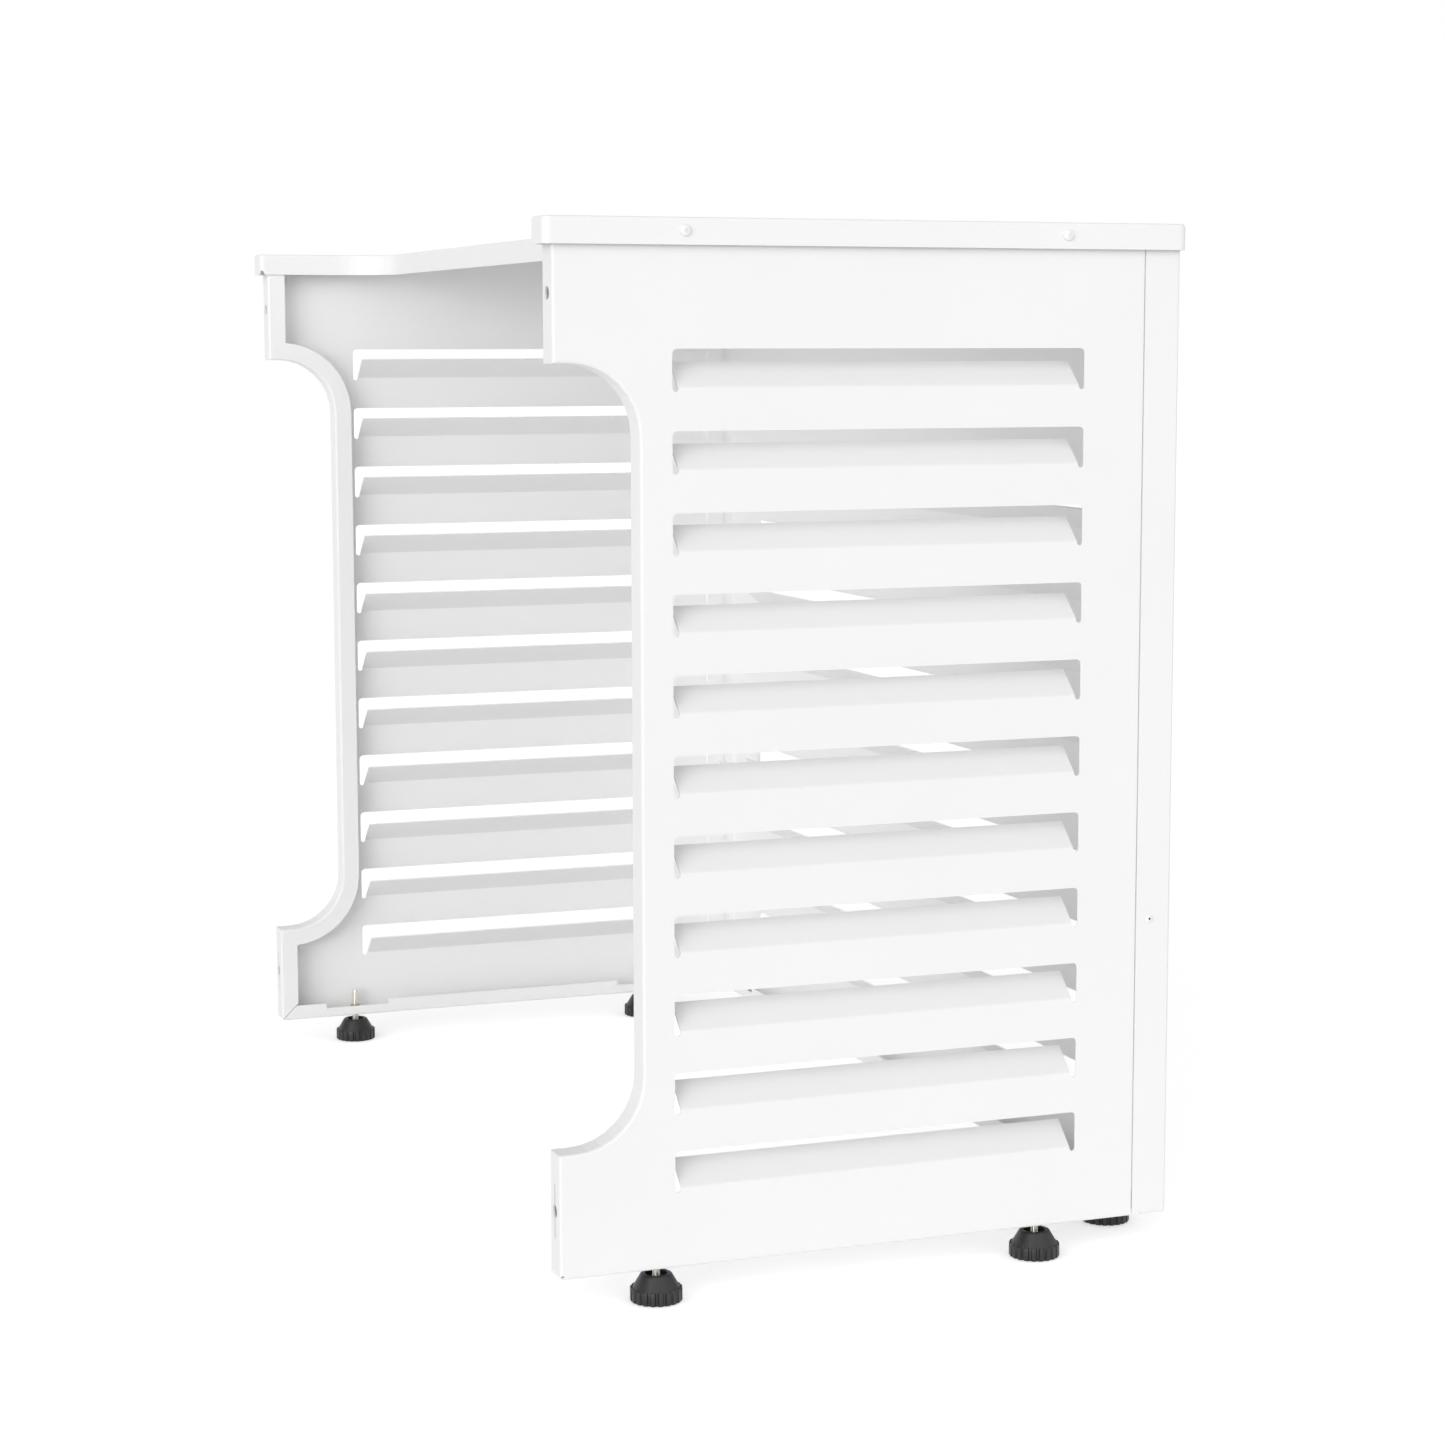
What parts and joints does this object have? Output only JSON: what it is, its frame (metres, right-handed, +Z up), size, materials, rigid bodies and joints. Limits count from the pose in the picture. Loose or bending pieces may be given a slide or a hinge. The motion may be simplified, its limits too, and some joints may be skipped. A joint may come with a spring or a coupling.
{
  "type": "air conditioner screen",
  "caption": "Three-sided louvred sheet-metal screen with a tray-shaped cover, wall flanges with cut-outs and screw-adjusted levelling feet, placed around an outdoor air conditioner.",
  "frame": {"origin": "centre of the bounding box's underside, at the level the feet stand on", "axes": "+Z up, -Y towards the front panel, +Y towards the house wall, X across the width"},
  "size_m": [0.9868, 0.526, 0.8118],
  "materials": {
    "side_powder_coat": "satin",
    "front_powder_coat": "satin",
    "cover_powder_coat": "satin",
    "painted_rivet": "satin",
    "screw_zinc": "satin",
    "nut_zinc": "satin",
    "insert_zinc": "satin",
    "stud_zinc": "satin",
    "foot_plastic": "matte"
  },
  "bodies": {
    "screen": {"side_panel_left": "side_powder_coat", "side_panel_right": "side_powder_coat", "front_panel": "front_powder_coat", "top_cover": "cover_powder_coat", "corner_rivet_left": "painted_rivet", "corner_rivet_right": "painted_rivet", "lid_screw_1": "screw_zinc", "lid_screw_2": "screw_zinc", "lid_screw_3": "screw_zinc", "lid_screw_4": "screw_zinc", "lid_screw_5": "screw_zinc", "lid_screw_6": "screw_zinc", "lid_nut_1": "nut_zinc", "lid_nut_2": "nut_zinc", "lid_nut_3": "nut_zinc", "lid_nut_4": "nut_zinc", "lid_nut_5": "nut_zinc", "lid_nut_6": "nut_zinc", "foot_insert_left_rear": "insert_zinc", "foot_insert_left_fore": "insert_zinc", "foot_insert_right_rear": "insert_zinc", "foot_insert_right_fore": "insert_zinc", "foot_insert_front_left": "insert_zinc", "foot_insert_front_right": "insert_zinc"},
    "stud_left_rear": {"foot_stud_left_rear": "stud_zinc"},
    "base_left_rear": {"foot_base_left_rear": "foot_plastic"},
    "stud_left_fore": {"foot_stud_left_fore": "stud_zinc"},
    "base_left_fore": {"foot_base_left_fore": "foot_plastic"},
    "stud_right_rear": {"foot_stud_right_rear": "stud_zinc"},
    "base_right_rear": {"foot_base_right_rear": "foot_plastic"},
    "stud_right_fore": {"foot_stud_right_fore": "stud_zinc"},
    "base_right_fore": {"foot_base_right_fore": "foot_plastic"},
    "stud_front_left": {"foot_stud_front_left": "stud_zinc"},
    "base_front_left": {"foot_base_front_left": "foot_plastic"},
    "stud_front_right": {"foot_stud_front_right": "stud_zinc"},
    "base_front_right": {"foot_base_front_right": "foot_plastic"}
  },
  "joints": [
    {"name": "foot_left_rear_height", "type": "slide", "parent": "screen", "child": "stud_left_rear", "axis": [0, 0, 1], "range_m": [-0.015, 0.004]},
    {"name": "foot_left_rear_turn", "type": "hinge", "parent": "stud_left_rear", "child": "base_left_rear", "pos_m": [-0.473, 0.175, 0], "axis": [0, 0, 1], "range_deg": [-5400, 1440]},
    {"name": "foot_left_fore_height", "type": "slide", "parent": "screen", "child": "stud_left_fore", "axis": [0, 0, 1], "range_m": [-0.015, 0.004]},
    {"name": "foot_left_fore_turn", "type": "hinge", "parent": "stud_left_fore", "child": "base_left_fore", "pos_m": [-0.473, -0.144, 0], "axis": [0, 0, 1], "range_deg": [-5400, 1440]},
    {"name": "foot_right_rear_height", "type": "slide", "parent": "screen", "child": "stud_right_rear", "axis": [0, 0, 1], "range_m": [-0.015, 0.004]},
    {"name": "foot_right_rear_turn", "type": "hinge", "parent": "stud_right_rear", "child": "base_right_rear", "pos_m": [0.473, 0.175, 0], "axis": [0, 0, 1], "range_deg": [-5400, 1440]},
    {"name": "foot_right_fore_height", "type": "slide", "parent": "screen", "child": "stud_right_fore", "axis": [0, 0, 1], "range_m": [-0.015, 0.004]},
    {"name": "foot_right_fore_turn", "type": "hinge", "parent": "stud_right_fore", "child": "base_right_fore", "pos_m": [0.473, -0.144, 0], "axis": [0, 0, 1], "range_deg": [-5400, 1440]},
    {"name": "foot_front_left_height", "type": "slide", "parent": "screen", "child": "stud_front_left", "axis": [0, 0, 1], "range_m": [-0.015, 0.004]},
    {"name": "foot_front_left_turn", "type": "hinge", "parent": "stud_front_left", "child": "base_front_left", "pos_m": [-0.405, -0.243, 0], "axis": [0, 0, 1], "range_deg": [-5400, 1440]},
    {"name": "foot_front_right_height", "type": "slide", "parent": "screen", "child": "stud_front_right", "axis": [0, 0, 1], "range_m": [-0.015, 0.004]},
    {"name": "foot_front_right_turn", "type": "hinge", "parent": "stud_front_right", "child": "base_front_right", "pos_m": [0.405, -0.243, 0], "axis": [0, 0, 1], "range_deg": [-5400, 1440]}
  ],
  "couplings": [
    {"joint": "foot_left_rear_height", "follows": "foot_left_rear_turn", "m_per_rad": 0.00015915},
    {"joint": "foot_left_fore_height", "follows": "foot_left_fore_turn", "m_per_rad": 0.00015915},
    {"joint": "foot_right_rear_height", "follows": "foot_right_rear_turn", "m_per_rad": 0.00015915},
    {"joint": "foot_right_fore_height", "follows": "foot_right_fore_turn", "m_per_rad": 0.00015915},
    {"joint": "foot_front_left_height", "follows": "foot_front_left_turn", "m_per_rad": 0.00015915},
    {"joint": "foot_front_right_height", "follows": "foot_front_right_turn", "m_per_rad": 0.00015915}
  ]
}
